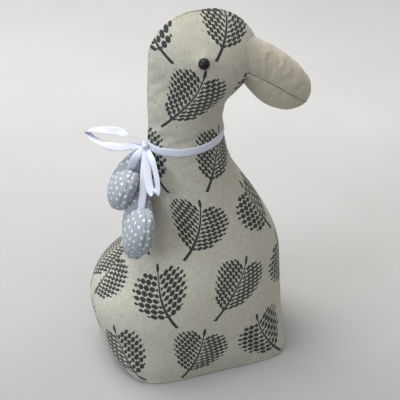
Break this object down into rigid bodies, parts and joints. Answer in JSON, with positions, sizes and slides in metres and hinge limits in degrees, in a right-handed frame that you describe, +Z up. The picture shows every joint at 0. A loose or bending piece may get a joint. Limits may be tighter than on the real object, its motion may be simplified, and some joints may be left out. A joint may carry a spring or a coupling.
{
  "type": "weighted door stop",
  "caption": "Stuffed fabric duck on a flat weighted base, with a plain beak, bead eyes and a ribbon bow that carries small hearts.",
  "frame": {"origin": "middle of the flat base, on the surface that the door stop stands on", "axes": "+Z up, +X towards the beak, -Y the duck's right side"},
  "size_m": [0.2185, 0.1454, 0.3545],
  "materials": {
    "printed_linen": "natural linen weave with a dark plant print",
    "plain_linen": "natural linen weave",
    "bead": "polished black",
    "satin": "white satin ribbon",
    "dotted_cotton": "grey cotton with small white dots"
  },
  "bodies": {
    "root": {"body": "printed_linen", "beak": "plain_linen", "eye_right": "bead", "eye_left": "bead", "ribbon": "satin", "heart_upper": "dotted_cotton", "heart_lower": "dotted_cotton"}
  },
  "joints": []
}
